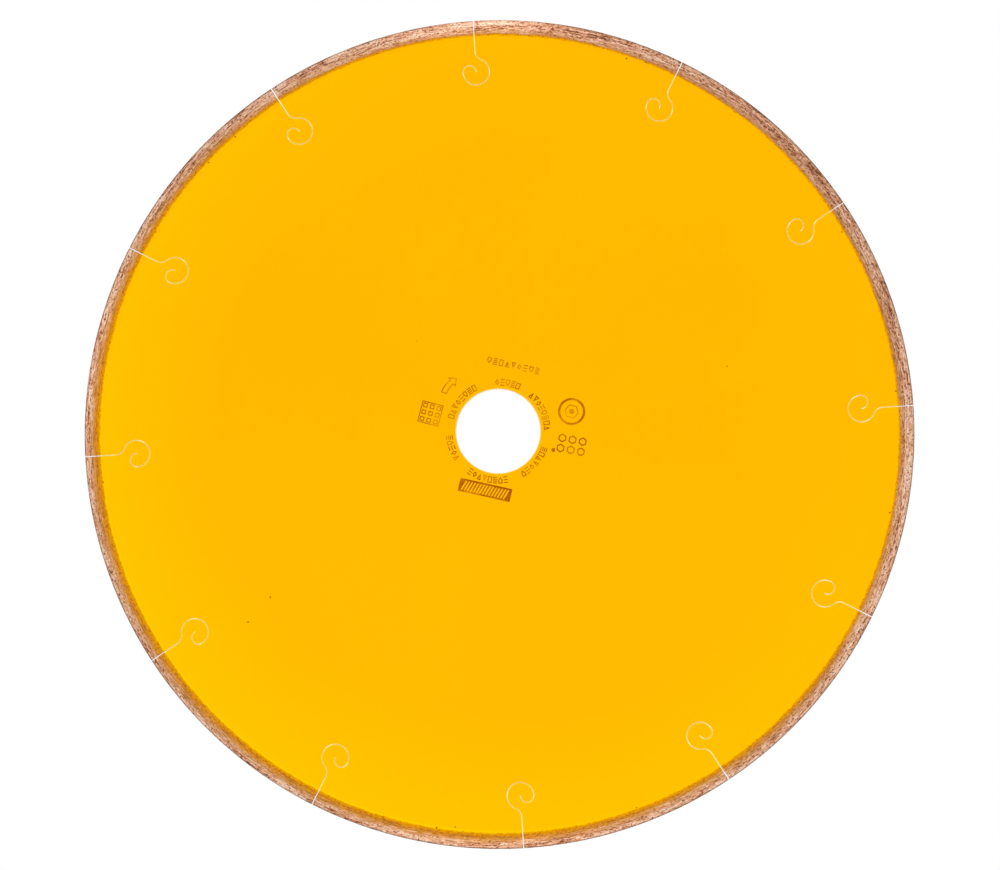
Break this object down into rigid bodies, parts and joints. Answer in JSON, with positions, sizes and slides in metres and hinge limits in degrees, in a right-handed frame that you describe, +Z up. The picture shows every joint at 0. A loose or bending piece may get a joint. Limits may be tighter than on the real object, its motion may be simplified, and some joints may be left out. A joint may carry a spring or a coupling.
{
  "type": "diamond saw blade",
  "caption": "Round diamond saw blade with a thin lacquered steel core, curled relief slots, a segmented sintered bronze rim with bedded diamond grit, and a central arbor bore.",
  "frame": {"origin": "on the spin axis in the middle of the arbor bore, half way through the core", "axes": "+Y along the arbor, away from the marked front, which looks along -Y; +Z up and +X to the right as the front is seen; one relief slot lies along +X"},
  "size_m": [0.25, 0.0018, 0.25],
  "materials": {
    "core_steel": "ground bare steel, seen only in the bore and inside the slots",
    "yellow_lacquer": "smooth satin yellow lacquer, sprayed and baked",
    "burnt_marks": "lacquer burnt orange brown by a marking laser, matt",
    "sintered_bond": "sintered copper-bronze bond, ground round the rim, with fine dark pores",
    "diamond_grit": "dark synthetic diamond crystals"
  },
  "bodies": {
    "root": {"steel_core": "core_steel", "lacquer_front": "yellow_lacquer", "lacquer_back": "yellow_lacquer", "front_marks": "burnt_marks", "rim_segment_01": "sintered_bond", "rim_segment_02": "sintered_bond", "rim_segment_03": "sintered_bond", "rim_segment_04": "sintered_bond", "rim_segment_05": "sintered_bond", "rim_segment_06": "sintered_bond", "rim_segment_07": "sintered_bond", "rim_segment_08": "sintered_bond", "rim_segment_09": "sintered_bond", "rim_segment_10": "sintered_bond", "rim_segment_11": "sintered_bond", "rim_segment_12": "sintered_bond", "diamond_grit_01": "diamond_grit", "diamond_grit_02": "diamond_grit", "diamond_grit_03": "diamond_grit", "diamond_grit_04": "diamond_grit", "diamond_grit_05": "diamond_grit", "diamond_grit_06": "diamond_grit", "diamond_grit_07": "diamond_grit", "diamond_grit_08": "diamond_grit", "diamond_grit_09": "diamond_grit", "diamond_grit_10": "diamond_grit", "diamond_grit_11": "diamond_grit", "diamond_grit_12": "diamond_grit"}
  },
  "joints": []
}
